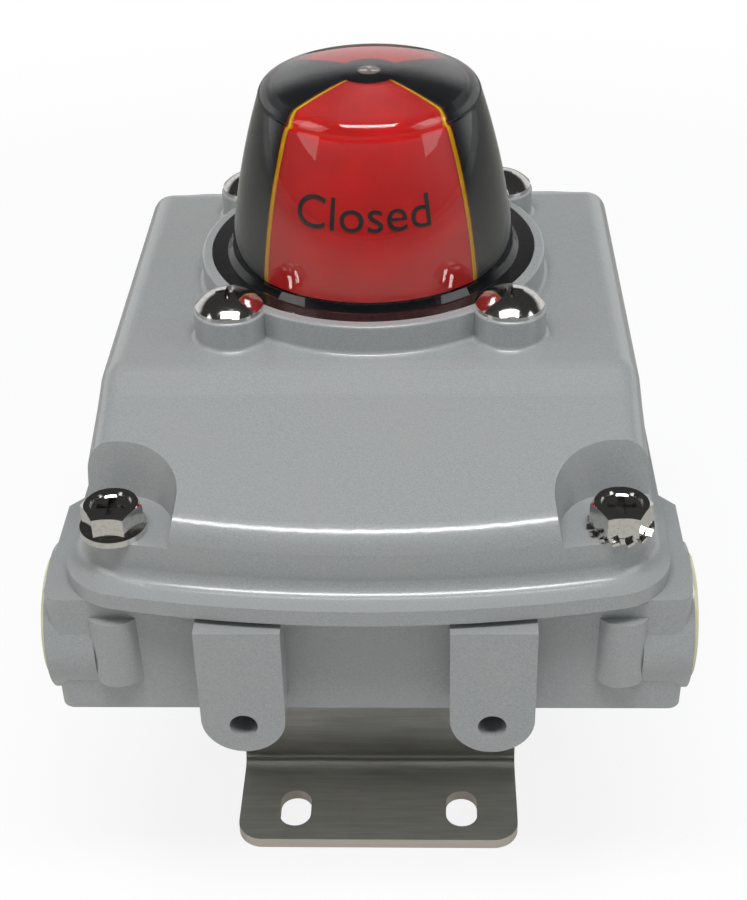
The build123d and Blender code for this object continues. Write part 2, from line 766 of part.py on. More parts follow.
with BuildPart() as bracket_washers:
    with BuildSketch(Plane.XY.offset(bracket_head_z)):
        for place in bracket_bolt_places:
            with Locations(place):
                ring(washer_radius, bolt_radius + 0.2)
    extrude(amount=washer_thickness)
bracket_washers.part.label = "bracket_washers"
export_step(bracket_washers.part, "parts/bracket_washers.step")

# ---------------------------------------------------------------- sensors

plate_z = 54.5
plate_thickness = 1.5
sensor_width = 16.0
sensor_face_y = 16.6
sensor_length = 25.0
sensor_height = 10.0
sensor_screw_places = [(0, 23.5), (0, 35.5)]
small_screw_radius = 1.5

with BuildPart() as sensor_plate:
    with BuildSketch(Plane.XY.offset(plate_z)):
        with Locations((0, 13.5)):
            RectangleRounded(48.0, 59.0, 3.0)
        Circle(12.0, mode=Mode.SUBTRACT)
        with Locations(*plate_post_places):
            Circle(small_screw_radius + 0.2, mode=Mode.SUBTRACT)
        with Locations(*sensor_screw_places):
            Circle(small_screw_radius + play, mode=Mode.SUBTRACT)
    extrude(amount=plate_thickness)
sensor_plate.part.label = "sensor_plate"
export_step(sensor_plate.part, "parts/sensor_plate.step")

for sensor_name, bottom_z in {"lower_sensor": 56.0, "upper_sensor": 67.5}.items():
    with BuildPart() as sensor:
        with BuildSketch(Plane.XY.offset(bottom_z)):
            with Locations((0, sensor_face_y + sensor_length / 2)):
                RectangleRounded(sensor_width, sensor_length, 1.5)
            with Locations(*sensor_screw_places):
                Circle(small_screw_radius + 0.2, mode=Mode.SUBTRACT)
        extrude(amount=sensor_height)
        # the cable leaves through a short stub at the back
        with BuildSketch(Plane.XZ.offset(-sensor_face_y - sensor_length)):
            with Locations((0, bottom_z + sensor_height / 2)):
                Circle(2.2)
        extrude(amount=-2.0)
        with BuildSketch(Plane.XZ.offset(-sensor_face_y)):
            with Locations((0, bottom_z + sensor_height / 2)):
                ring(4.2, 3.6)
        extrude(amount=-0.4, mode=Mode.SUBTRACT)
    sensor.part.label = sensor_name
    export_step(sensor.part, f"parts/{sensor_name}.step")

with BuildPart() as sensor_spacer:
    with BuildSketch(Plane.XY.offset(66.0)):
        with Locations((0, 29.5)):
            RectangleRounded(18.0, 24.0, 2.0)
        with Locations(*sensor_screw_places):
            Circle(small_screw_radius + 0.2, mode=Mode.SUBTRACT)
    extrude(amount=1.5)
sensor_spacer.part.label = "sensor_spacer"
export_step(sensor_spacer.part, "parts/sensor_spacer.step")


def pan_screws(places, seat_z, length):
    """Small pan-head screws with a slot, standing on this height."""
    with BuildPart() as screws:
        with BuildSketch(Plane.XY.offset(seat_z)):
            with Locations(*places):
                Circle(2.8)
        extrude(amount=1.9)
        fillet(edges().filter_by(GeomType.CIRCLE).group_by(Axis.Z)[-1], 0.7)
        with BuildSketch(Plane.XY.offset(seat_z + 1.9)):
            with Locations(*places):
                Rectangle(7.0, 0.8)
        extrude(amount=-0.8, mode=Mode.SUBTRACT)
        with BuildSketch(Plane.XY.offset(seat_z)):
            with Locations(*places):
                Circle(small_screw_radius)
        extrude(amount=-length)
    return screws.part


sensor_screws = pan_screws(sensor_screw_places, 77.5, 23.0)
sensor_screws.label = "sensor_screws"
export_step(sensor_screws, "parts/sensor_screws.step")

plate_screws = pan_screws(plate_post_places, plate_z + plate_thickness, 5.5)
plate_screws.label = "plate_screws"
export_step(plate_screws, "parts/plate_screws.step")

# ---------------------------------------------------------------- terminals

board_z = 58.0
board_thickness = 1.6
poles = 8
pole_pitch = 5.0
strip_z = board_z + board_thickness
strip_height = 11.0
strip_y = -37.0
strip_places = [((i - (poles - 1) / 2) * pole_pitch, strip_y) for i in range(poles)]

with BuildPart() as terminal_board:
    with BuildSketch(Plane.XY.offset(board_z)):
        with Locations((0, strip_y)):
            RectangleRounded(58.0, 28.0, 2.0)
        with Locations(*board_post_places):
            Circle(small_screw_radius + 0.2, mode=Mode.SUBTRACT)
    extrude(amount=board_thickness)
terminal_board.part.label = "terminal_board"
export_step(terminal_board.part, "parts/terminal_board.step")

board_screws = pan_screws(board_post_places, strip_z, 5.5)
board_screws.label = "board_screws"
export_step(board_screws, "parts/board_screws.step")

with BuildPart() as terminal_strip:
    with BuildSketch(Plane.YZ):
        with BuildLine():
            Polyline(
                (strip_y - 7.0, strip_z),
                (strip_y + 7.0, strip_z),
                (strip_y + 7.0, strip_z + 7.0),
                (strip_y + 3.5, strip_z + strip_height),
                (strip_y - 3.5, strip_z + strip_height),
                (strip_y - 7.0, strip_z + 7.0),
                close=True,
            )
        make_face()
    extrude(amount=(poles * pole_pitch + 2.0) / 2, both=True)
    with BuildSketch(Plane.XY.offset(strip_z + strip_height)):
        with Locations(*strip_places):
            Circle(1.8)
    extrude(amount=-5.0, mode=Mode.SUBTRACT)
    for face_y, direction in ((strip_y - 7.0, 1), (strip_y + 7.0, -1)):
        mouth = Plane(origin=(0, face_y, strip_z + 3.2), x_dir=(1, 0, 0), z_dir=(0, direction, 0))
        with BuildSketch(mouth):
            with GridLocations(pole_pitch, 1, poles, 1):
                Rectangle(3.2, 3.2)
        extrude(amount=4.5, mode=Mode.SUBTRACT)
terminal_strip.part.label = "terminal_strip"
export_step(terminal_strip.part, "parts/terminal_strip.step")

with BuildPart() as terminal_screws:
    with BuildSketch(Plane.XY.offset(strip_z + strip_height - 5.0)):
        with Locations(*strip_places):
            Circle(1.7)
    extrude(amount=3.4)
    with BuildSketch(Plane.XY.offset(strip_z + strip_height - 1.6)):
        with Locations(*strip_places):
            Rectangle(4.0, 0.6)
    extrude(amount=-0.8, mode=Mode.SUBTRACT)
terminal_screws.part.label = "terminal_screws"
export_step(terminal_screws.part, "parts/terminal_screws.step")

with BuildPart() as earth_screw:
    with BuildSketch(Plane.XY.offset(board_z)):
        with Locations((-30.0, -8.0)):
            Rectangle(8.0, 8.0)
    extrude(amount=1.0)
    with BuildSketch(Plane.XY.offset(board_z + 1.0)):
        with Locations((-30.0, -8.0)):
            Circle(3.5)
    extrude(amount=2.4)
    with BuildSketch(Plane.XY.offset(board_z + 3.4)):
        with Locations((-30.0, -8.0)):
            cross_recess(2.0, 1.0)
    extrude(amount=-1.6, mode=Mode.SUBTRACT)
    with BuildSketch(Plane.XY.offset(board_z)):
        with Locations((-30.0, -8.0)):
            Circle(2.0)
    extrude(amount=-6.0)
earth_screw.part.label = "earth_screw"
export_step(earth_screw.part, "parts/earth_screw.step")

# ---------------------------------------------------------------- dust plugs in the cable ports

plug_body_radius = port_radius - play
for plug_name, side in {"port_plug_left": -1, "port_plug_right": 1}.items():
    seat_x = side * (block_half_width + port_pad)
    plug_plane = Plane(origin=(seat_x, port_y, port_z), x_dir=(0, side, 0), z_dir=(side, 0, 0))
    with BuildPart() as port_plug:
        with BuildSketch(plug_plane):
            Circle(10.6)
        extrude(amount=1.5)
        fillet(edges().filter_by(GeomType.CIRCLE).sort_by(Axis.X)[0 if side < 0 else -1], 0.9)
        with BuildSketch(plug_plane):
            ring(plug_body_radius, plug_body_radius - 1.3)
        extrude(amount=-8.5)
    port_plug.part.label = plug_name
    export_step(port_plug.part, f"parts/{plug_name}.step")
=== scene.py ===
"""The looks of a valve limit switch box: finishes, indicator, dust plugs and studio."""

import json
import math

import bmesh
import bpy
import numpy as np
from mathutils import Matrix, Vector


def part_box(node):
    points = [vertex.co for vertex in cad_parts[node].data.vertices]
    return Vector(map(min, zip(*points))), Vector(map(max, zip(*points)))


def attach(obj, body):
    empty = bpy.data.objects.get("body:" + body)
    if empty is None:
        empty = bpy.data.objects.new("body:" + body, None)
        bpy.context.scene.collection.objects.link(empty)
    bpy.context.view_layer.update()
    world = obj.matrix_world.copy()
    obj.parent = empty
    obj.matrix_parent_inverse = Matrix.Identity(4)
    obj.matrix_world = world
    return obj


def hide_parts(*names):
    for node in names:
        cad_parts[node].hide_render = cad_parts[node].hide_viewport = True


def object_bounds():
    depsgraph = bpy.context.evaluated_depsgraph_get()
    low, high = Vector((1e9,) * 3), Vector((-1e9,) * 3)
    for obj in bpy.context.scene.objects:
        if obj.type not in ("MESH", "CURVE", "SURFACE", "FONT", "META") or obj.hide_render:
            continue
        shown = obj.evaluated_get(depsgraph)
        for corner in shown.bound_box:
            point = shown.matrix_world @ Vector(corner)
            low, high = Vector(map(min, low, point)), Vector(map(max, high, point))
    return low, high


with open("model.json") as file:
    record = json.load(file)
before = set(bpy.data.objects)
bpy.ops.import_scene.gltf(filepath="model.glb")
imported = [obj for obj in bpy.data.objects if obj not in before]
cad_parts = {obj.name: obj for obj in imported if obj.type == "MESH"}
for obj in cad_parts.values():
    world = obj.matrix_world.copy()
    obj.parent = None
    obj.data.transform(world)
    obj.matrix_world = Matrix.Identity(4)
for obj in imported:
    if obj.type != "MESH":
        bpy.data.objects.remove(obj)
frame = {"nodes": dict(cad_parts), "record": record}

MM = 0.001
cad_low, cad_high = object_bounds()


# ---------------------------------------------------------------- shader arithmetic

class Value:
    """A number that varies over a surface. Arithmetic on it adds Math nodes."""

    def __init__(self, finish, socket):
        self.finish = finish
        self.socket = socket

    def math(self, operation, *terms):
        node = self.finish.node("ShaderNodeMath", {"operation": operation}, *terms)
        return Value(self.finish, node.outputs[0])

    def __add__(self, other):
        return self.math("ADD", self, other)

    def __radd__(self, other):
        return self.math("ADD", other, self)

    def __rsub__(self, other):
        return self.math("SUBTRACT", other, self)

    def __mul__(self, other):
        return self.math("MULTIPLY", self, other)

    def __rmul__(self, other):
        return self.math("MULTIPLY", other, self)

    def __pow__(self, other):
        return self.math("POWER", self, other)

    def __abs__(self):
        return self.math("ABSOLUTE", self)

    def band(self, low, high):
        """0 below low, 1 above high, and a smooth rise between."""
        node = self.finish.node(
            "ShaderNodeMapRange", {"interpolation_type": "SMOOTHSTEP"}, self, low, high, 0.0, 1.0
        )
        return Value(self.finish, node.outputs[0])

    def at_least(self, other):
        return self.math("MAXIMUM", self, other)

    def more_than(self, other):
        """1 where it is more than the other, and 0 elsewhere."""
        return self.math("GREATER_THAN", self, other)


class Finish:
    """A material: one Principled shader and the nodes that vary its inputs."""

    def __init__(self, name, color, roughness, metallic=0.0, **constants):
        self.material = bpy.data.materials.new(name)
        self.material.use_nodes = True
        self.tree = self.material.node_tree
        self.tree.nodes.clear()
        self.output = self.tree.nodes.new("ShaderNodeOutputMaterial")
        self.shader = self.tree.nodes.new("ShaderNodeBsdfPrincipled")
        self.tree.links.new(self.shader.outputs[0], self.output.inputs[0])
        self.constant("Base Color", (*color, 1.0))
        self.constant("Roughness", roughness)
        self.constant("Metallic", metallic)
        for socket, value in constants.items():
            self.constant(socket.replace("_", " "), value)
        coords = self.tree.nodes.new("ShaderNodeTexCoord")
        self.place = coords.outputs["Object"]
        self.facing = coords.outputs["Normal"]

    def constant(self, socket, value):
        self.shader.inputs[socket].default_value = value

    def node(self, kind, settings, *inputs, **named):
        """Adds a node, sets its settings first, and then gives its inputs values or links."""
        node = self.tree.nodes.new(kind)
        for key, setting in settings.items():
            setattr(node, key, setting)
        sockets = list(enumerate(inputs)) + list(named.items())
        for key, value in sockets:
            socket = node.inputs[key]
            if isinstance(value, Value):
                self.tree.links.new(value.socket, socket)
            elif isinstance(value, bpy.types.NodeSocket):
                self.tree.links.new(value, socket)
            else:
                socket.default_value = value
        return node

    def noise(self, size, detail=2.0, roughness=0.5, stretch=(1, 1, 1)):
        """Noise from 0 to 1 with features of this size in metres."""
        scale = tuple(along / size for along in stretch)
        place = self.node("ShaderNodeMapping", {}, Vector=self.place, Scale=scale)
        noise = self.node(
            "ShaderNodeTexNoise",
            {},
            Vector=place.outputs[0],
            Scale=1.0,
            Detail=detail,
            Roughness=roughness,
        )
        return Value(self, noise.outputs[0])

    def axis(self, letter, of=None):
        """One coordinate of the surface point, or of its normal."""
        split = self.node("ShaderNodeSeparateXYZ", {}, of or self.place)
        return Value(self, split.outputs[letter])

    def mix(self, factor, first, second):
        """A colour between two colours."""
        node = self.tree.nodes.new("ShaderNodeMix")
        node.data_type = "RGBA"
        for key, value in ((0, factor), (6, first), (7, second)):
            socket = node.inputs[key]
            if isinstance(value, Value):
                self.tree.links.new(value.socket, socket)
            elif isinstance(value, bpy.types.NodeSocket):
                self.tree.links.new(value, socket)
            else:
                socket.default_value = (*value, 1.0) if key else value
        return node.outputs[2]

    def color(self, socket):
        self.tree.links.new(socket, self.shader.inputs["Base Color"])

    def rough(self, value):
        self.tree.links.new(value.socket, self.shader.inputs["Roughness"])

    def metal(self, value):
        self.tree.links.new(value.socket, self.shader.inputs["Metallic"])

    def bump(self, height, depth, strength=1.0):
        """A bump from a height of 0 to 1 that stands for this depth in metres."""
        bump = self.node("ShaderNodeBump", {}, Height=height, Strength=strength, Distance=depth)
        self.tree.links.new(bump.outputs[0], self.shader.inputs["Normal"])


# ---------------------------------------------------------------- finishes

def powder_coat():
    """Light grey powder coat: fine orange peel, and a faint salt-and-pepper speckle."""
    grey = (0.30, 0.312, 0.312)
    f = Finish("powder_coat", grey, 0.34, Coat_Weight=0.8, Coat_Roughness=0.16)
    speckle = f.noise(0.00022, detail=3.0, roughness=0.7)
    cloud = f.noise(0.012, detail=3.0)
    peel = f.noise(0.0007, detail=2.0, roughness=0.55)
    tone = f.mix(speckle.band(0.35, 0.68), (0.265, 0.277, 0.280), (0.335, 0.348, 0.347))
    tone = f.mix(cloud.band(0.3, 0.75) * 0.35, tone, (0.315, 0.318, 0.308))
    f.color(tone)
    f.rough(0.27 + 0.16 * speckle.band(0.3, 0.7))
    f.bump(peel * 0.65 + speckle * 0.35, 0.000045)
    return f.material


def polished_stainless():
    """Polished stainless steel with fine handling marks."""
    f = Finish("polished_stainless", (0.70, 0.69, 0.67), 0.12, metallic=1.0)
    marks = f.noise(0.0006, detail=4.0, roughness=0.7)
    f.color(f.mix(marks.band(0.4, 0.75), (0.74, 0.73, 0.71), (0.56, 0.54, 0.51)))
    f.rough(0.07 + 0.15 * marks.band(0.45, 0.8))
    f.bump(marks, 0.00001)
    return f.material


def sheet_stainless():
    """Brushed stainless sheet. Its sheared edges are rougher and carry a painted highlight: lighter,
    warmer and less metallic. Its upright wall is less metallic than the foot, a painted sheen that
    makes it read lighter.
    """
    f = Finish("sheet_stainless", (0.45, 0.44, 0.42), 0.3, metallic=1.0)
    grain = f.noise(0.0009, detail=3.0, roughness=0.65, stretch=(0.06, 1.0, 1.0))
    blotch = f.noise(0.007, detail=3.0)
    flat = f.mix(grain.band(0.35, 0.65), (0.60, 0.59, 0.55), (0.70, 0.69, 0.65))
    flat = f.mix(blotch.band(0.45, 0.75) * 0.4, flat, (0.52, 0.51, 0.49))
    low_z = f.axis("Z").band(0.0026, 0.0021)
    end = abs(f.axis("Y", f.facing)).band(0.55, 0.8) * low_z
    side = abs(f.axis("X", f.facing)).band(0.55, 0.8)
    edge = end.at_least(side)
    # Painted highlight: the cut edges are coloured lighter and warmer than the sheet and made less
    # metallic below, so they catch diffuse light. Their extra roughness is real.
    f.color(f.mix(edge, flat, (0.72, 0.66, 0.58)))
    f.rough(0.24 + 0.14 * grain + 0.2 * edge)
    # Painted sheen: the upright wall is made less metallic than the foot, so it shows diffuse light and
    # reads lighter.
    wall = f.axis("Z").band(0.004, 0.012)
    f.metal(1.0 - (0.75 * edge).at_least(0.3 * wall))
    f.bump(grain, 0.000012)
    return f.material


def machined_steel():
    """Plain turned or milled steel."""
    f = Finish("machined_steel", (0.56, 0.56, 0.56), 0.3, metallic=1.0)
    rings = f.noise(0.0006, detail=3.0, stretch=(0.3, 0.3, 2.0))
    f.color(f.mix(rings.band(0.3, 0.7), (0.50, 0.50, 0.50), (0.63, 0.63, 0.62)))
    f.rough(0.22 + 0.18 * rings)
    f.bump(rings, 0.00001)
    return f.material


# The middle of the dome's wall, in metres. Its radius falls with height above the foot, and the
# crown's height falls with radius, so this line lies between the two skins everywhere.
WALL_FOOT_Z, WALL_HEIGHT = 0.0966, 0.026
WALL_FOOT_RADIUS, WALL_LEAN, WALL_ROUNDING = 0.0227, 0.00286, 0.00274
CROWN_Z, CROWN_FALL = 0.1261, 9.45
CLEAR_INDEX = 1.5
CLEAR_GLOSS = 0.015
CLEAR_SHADOW = (0.93, 0.93, 0.92, 1.0)


def clear_dome():
    """Clear moulded plastic. Lamps shine through it, so that the indicator inside is lit.

    The inner skin has the outer one's index upside down, so light bends the same way at both. A
    real wall this thin doesn't do that. It is here only for the look: it carries the dark
    indicator out to the dome's edge, where plain clear plastic leaves a pale rim."""
    clear_white = (0.985, 0.985, 0.98)
    f = Finish("clear_dome", clear_white, 0.0, Transmission_Weight=1.0, IOR=CLEAR_INDEX)
    haze = f.noise(0.004, detail=4.0, roughness=0.6)
    gloss = CLEAR_GLOSS * haze.band(0.5, 0.8)
    f.rough(gloss)
    inner_sockets = {
        "Base Color": (*clear_white, 1.0),
        "Roughness": gloss,
        "Transmission Weight": 1.0,
        "IOR": 1.0 / CLEAR_INDEX,
    }
    inner = f.node("ShaderNodeBsdfPrincipled", {}, **inner_sockets)
    radius = (f.axis("X") ** 2.0 + f.axis("Y") ** 2.0) ** 0.5
    height = f.axis("Z")
    rise = (height + -WALL_FOOT_Z) * (1.0 / WALL_HEIGHT)
    side = WALL_FOOT_RADIUS - (WALL_LEAN * rise + WALL_ROUNDING * rise**2.0)
    crown = CROWN_Z - CROWN_FALL * radius**2.0
    within = side.more_than(radius) * crown.more_than(height)
    skins = f.node("ShaderNodeMixShader", {}, within, f.shader.outputs[0], inner.outputs[0])
    clear = f.node("ShaderNodeBsdfTransparent", {}, CLEAR_SHADOW)
    shadow_ray = f.tree.nodes.new("ShaderNodeLightPath").outputs["Is Shadow Ray"]
    mixed = f.node("ShaderNodeMixShader", {}, shadow_ray, skins.outputs[0], clear.outputs[0])
    f.tree.links.new(mixed.outputs[0], f.output.inputs[0])
    return f.material


def moulded_plastic(name, color, roughness, grain=0.0006, depth=0.00001, shift=0.12):
    """Moulded plastic in one colour: slight tone and gloss changes, and a fine grain."""
    f = Finish(name, color, roughness)
    cloud = f.noise(0.006, detail=3.0)
    fine = f.noise(grain, detail=3.0)
    darker = tuple(c * (1 - shift) for c in color)
    lighter = tuple(min(1.0, c * (1 + shift)) for c in color)
    f.color(f.mix(cloud.band(0.3, 0.7), darker, lighter))
    f.rough(roughness * 0.8 + roughness * 0.4 * fine)
    f.bump(fine, depth)
    return f.material


FINISHES = {
    "powder_coat": powder_coat(),
    "stainless_polished": polished_stainless(),
    "stainless_sheet": sheet_stainless(),
    "steel_plain": machined_steel(),
    "clear_dome": clear_dome(),
    "black_plastic": moulded_plastic("black_plastic", (0.006, 0.007, 0.009), 0.12),
    "black_seal": moulded_plastic("black_seal", (0.012, 0.012, 0.013), 0.5),
    "red_panel": moulded_plastic("red_panel", (0.42, 0.002, 0.002), 0.4, shift=0.08),
    "yellow_panel": moulded_plastic("yellow_panel", (0.72, 0.38, 0.01), 0.3, shift=0.08),
    "cream_plastic": moulded_plastic("cream_plastic", (0.60, 0.57, 0.38), 0.4),
    "bush_plastic": moulded_plastic("bush_plastic", (0.72, 0.69, 0.62), 0.45),
    "cam_plastic_red": moulded_plastic("cam_plastic_red", (0.50, 0.04, 0.03), 0.4),
    "cam_plastic_green": moulded_plastic("cam_plastic_green", (0.04, 0.30, 0.12), 0.4),
    "sensor_blue": moulded_plastic("sensor_blue", (0.03, 0.12, 0.42), 0.4),
    "circuit_board": moulded_plastic("circuit_board", (0.02, 0.18, 0.07), 0.3),
    "terminal_green": moulded_plastic("terminal_green", (0.07, 0.36, 0.15), 0.45),
    "brass_plain": machined_steel(),
    "aluminium_sheet": machined_steel(),
}

lettering_ink = moulded_plastic("lettering_ink", (0.008, 0.008, 0.009), 0.5)

for entry in frame["record"]["subparts"]:
    node = frame["nodes"][entry["node"]]
    node.data.materials.clear()
    node.data.materials.append(FINISHES[entry["material_slot"]])


# ---------------------------------------------------------------- indicator under the dome

# Sizes in mm. The dome's side passes through these points, each a radius and a height
DOME_FOOT, DOME_WAIST, DOME_SHOULDER = (23.7, 96.6), (21.5, 110.0), (18.1, 122.6)
SHOULDER_DROP = 0.7
WINDOW_HALF_ANGLE = math.radians(50.5)
WINDOW_FOOT = 95.6
MASK_INSET, MASK_THICKNESS = 2.15, 0.9
SHEET_INSET, SHEET_THICKNESS = 3.75, 0.5
RED_HALF_ANGLE = math.radians(48.6)
LETTER_SIZE, LETTER_BASELINE = 7.5, 107.1
LETTER_THICKNESS = 0.04
LETTER_CLEARANCE = 0.07
TURN = 2 * math.pi
FRONT, REAR = -math.pi / 2, math.pi / 2


def side_radius(inset, height):
    """Radius of a cup that follows the dome's side, both in mm: the circle through the dome's
    foot, waist and shoulder, each moved inwards by the inset."""
    (x1, y1), (x2, y2), (x3, y3) = (
        (DOME_FOOT[0] - inset, DOME_FOOT[1]),
        (DOME_WAIST[0] - inset, DOME_WAIST[1]),
        (DOME_SHOULDER[0] - inset, DOME_SHOULDER[1] - SHOULDER_DROP * inset),
    )
    sides = np.array([[x2 - x1, y2 - y1], [x3 - x1, y3 - y1]])
    middles = 0.5 * np.array([x2**2 - x1**2 + y2**2 - y1**2, x3**2 - x1**2 + y3**2 - y1**2])
    centre_x, centre_y = np.linalg.solve(sides, middles)
    size = math.hypot(x1 - centre_x, y1 - centre_y)
    return centre_x + np.sqrt(size**2 - (height - centre_y) ** 2)


def cup_section(inset, thickness, foot, crown, hub):
    """Closed half section of a cup in mm: up the outside, in along the sloping top to the hub,
    and back along the inside, which is the outside moved in by the thickness."""
    side_points = 20
    shoulder = DOME_SHOULDER[1] - SHOULDER_DROP * inset
    rise = np.linspace(foot, shoulder, side_points)
    side = side_radius(inset, rise)
    inwards = np.linspace(0, 1, 8)[1:]
    top_radius = side[-1] + (hub - side[-1]) * inwards
    top_height = shoulder + (crown - shoulder) * inwards
    outer = np.concatenate([np.stack([side, rise], axis=1), np.stack([top_radius, top_height], axis=1)])
    shift = np.zeros_like(outer)
    shift[:side_points, 0] = -thickness
    shift[side_points - 1 :, 1] = -thickness
    return np.concatenate([outer, (outer + shift)[::-1]])


def carried_round(sections, spans):
    """One mesh of closed sections, each carried round the shaft's axis over its span of angles.
    A point is (r cos a, r sin a, z); a span of a full turn closes on itself, others get end faces."""
    points, faces, first = [], [], 0
    for section, (start, end) in zip(sections, spans):
        whole = end - start > TURN - 0.001
        steps = max(3, round((end - start) / math.radians(1.5)))
        turn = np.linspace(start, end, steps + 1)
        if whole:
            turn = turn[:-1]
        radius, height = section[:, 0], section[:, 1]
        ring = np.stack(
            [
                np.outer(np.cos(turn), radius),
                np.outer(np.sin(turn), radius),
                np.tile(height, (len(turn), 1)),
            ],
            axis=2,
        )
        points.append(ring.reshape(-1, 3) * MM)
        count = len(section)
        row = np.arange(steps)[:, None]
        column = np.arange(count)[None, :]
        next_row = (row + 1) % len(turn)
        next_column = (column + 1) % count
        quads = np.stack(
            np.broadcast_arrays(
                row * count + column,
                next_row * count + column,
                next_row * count + next_column,
                row * count + next_column,
            ),
            axis=2,
        ).reshape(-1, 4) + first
        faces += quads.tolist()
        if not whole:
            faces.append((first + np.arange(count)).tolist())
            faces.append((first + steps * count + np.arange(count))[::-1].tolist())
        first += len(turn) * count
    return np.concatenate(points), faces


def add_piece(name, points, faces, finish, body):
    """A mesh object with its place in its mesh, in one finish, riding on a body."""
    mesh = bpy.data.meshes.new(name)
    mesh.from_pydata(points.tolist(), [], faces)
    mesh.materials.append(finish)
    piece = bpy.data.objects.new(name, mesh)
    bpy.context.scene.collection.objects.link(piece)
    shape = bmesh.new()
    shape.from_mesh(mesh)
    bmesh.ops.recalc_face_normals(shape, faces=shape.faces)
    shape.to_mesh(mesh)
    shape.free()
    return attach(piece, body)


def make_mask():
    """The black mask: two side sectors of a cup close under the dome, a hub and a foot ring."""
    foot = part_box("indicator_mask")[0].z / MM
    flange_top = foot + 1.2
    bore, flange = 20.4, 23.7
    wall = side_radius(MASK_INSET, WINDOW_FOOT)
    shell = cup_section(MASK_INSET, MASK_THICKNESS, WINDOW_FOOT - 0.4, 124.2, 4.2)
    hub = np.array([(1.8, 124.1), (4.7, 124.1), (4.7, 124.5), (1.8, 124.5)])
    ring = np.array(
        [
            (bore, foot),
            (flange, foot),
            (flange, flange_top),
            (wall, flange_top),
            (wall, WINDOW_FOOT),
            (bore, WINDOW_FOOT),
        ]
    )
    black = math.pi / 2 - WINDOW_HALF_ANGLE
    right, left = (-black, black), (math.pi - black, math.pi + black)
    points, faces = carried_round([shell, shell, hub, ring], [right, left, (0, TURN), (0, TURN)])
    mask = add_piece("window_mask", points, faces, FINISHES["black_plastic"], "housing")
    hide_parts("indicator_mask")


def make_red_sheets():
    """Two red sheets on the rotor, each wide enough to meet the yellow ones at its sides."""
    sheet = cup_section(SHEET_INSET, SHEET_THICKNESS, 95.8, 122.85, 3.4)
    spans = [(middle - RED_HALF_ANGLE, middle + RED_HALF_ANGLE) for middle in (FRONT, REAR)]
    points, faces = carried_round([sheet, sheet], spans)
    sheets = add_piece("red_sheets", points, faces, FINISHES["red_panel"], "spindle")
    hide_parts("red_panels")


def flat_word(word):
    """Points and faces of a word in the plain built-in typeface, centred, in mm, slightly thick,
    with its long edges cut up so that it can bend."""
    text = bpy.data.curves.new(word, "FONT")
    text.body = word
    text.size = LETTER_SIZE
    text.align_x = "CENTER"
    text.extrude = LETTER_THICKNESS
    text.resolution_u = 6
    holder = bpy.data.objects.new(word, text)
    bpy.context.scene.collection.objects.link(holder)
    bpy.context.view_layer.update()
    shown = holder.evaluated_get(bpy.context.evaluated_depsgraph_get())
    mesh = bpy.data.meshes.new_from_object(shown)
    shape = bmesh.new()
    shape.from_mesh(mesh)
    bmesh.ops.remove_doubles(shape, verts=shape.verts, dist=0.0001)
    for longest in (2.4, 1.2, 0.8):
        bmesh.ops.triangulate(shape, faces=shape.faces)
        long_edges = [edge for edge in shape.edges if edge.calc_length() > longest]
        bmesh.ops.subdivide_edges(shape, edges=long_edges, cuts=1)
    bmesh.ops.triangulate(shape, faces=shape.faces)
    shape.to_mesh(mesh)
    shape.free()
    points = np.empty(len(mesh.vertices) * 3)
    mesh.vertices.foreach_get("co", points)
    faces = [list(face.vertices) for face in mesh.polygons]
    bpy.data.objects.remove(holder)
    bpy.data.curves.remove(text)
    bpy.data.meshes.remove(mesh)
    return points.reshape(-1, 3), faces


def letter_panel(name, word, angle):
    """Wraps a word round the rotor at an angle. The angle of a point is its distance along the
    line over the radius at the baseline, and the word's thickness stands out from the sheet."""
    flat, faces = flat_word(word)
    height = LETTER_BASELINE + flat[:, 1] * 0.98
    turn = angle + flat[:, 0] / side_radius(SHEET_INSET, LETTER_BASELINE)
    reach = side_radius(SHEET_INSET, height) + LETTER_CLEARANCE + flat[:, 2]
    points = np.stack([reach * np.cos(turn), reach * np.sin(turn), height], axis=1) * MM
    word_piece = add_piece(name, points, faces, lettering_ink, "spindle")


def make_dust_plug(name, side):
    """A thin domed cap in the cable port: its half section carried round the port's axis, which
    runs along X. Section points are (distance out of the seat, radius) in mm."""
    low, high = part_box(name)
    seat = (high.x if side > 0 else -low.x) / MM - 1.5
    axis_y, axis_z = (low.y + high.y) / 2, (low.z + high.z) / 2
    flange, body, wall, depth, middle = 9.8, 9.2, 1.3, 6.0, 0.02
    section = np.array(
        [
            (0.9, middle),
            (0.9, flange - 0.8),
            (0.75, flange - 0.2),
            (0.4, flange),
            (0.02, flange),
            (0.02, body),
            (-depth, body),
            (-depth, body - wall),
            (-0.2, body - wall),
            (-0.2, middle),
        ]
    )
    turned, faces = carried_round([section[:, ::-1]], [(0, TURN)])
    out, across, up = seat * MM + turned[:, 2], axis_y + turned[:, 0], axis_z + turned[:, 1]
    points = np.stack([side * out, across, up], axis=1)
    body_name = "right_plug" if side > 0 else "left_plug"
    cap = add_piece(name + "_cap", points, faces, FINISHES["cream_plastic"], body_name)
    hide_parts(name)


make_mask()
make_red_sheets()
make_dust_plug("port_plug_left", -1)
make_dust_plug("port_plug_right", 1)
letter_panel("closed_front", "Closed", FRONT - 0.04)
letter_panel("closed_rear", "Closed", REAR)
letter_panel("open_right", "Open", 0.0)
letter_panel("open_left", "Open", math.pi)


# ---------------------------------------------------------------- studio

DIM_ROOM = 0.05
FLOOR_RADIUS = 1.6
TOP_OF_BOX = (0.0, 0.0, 0.09)


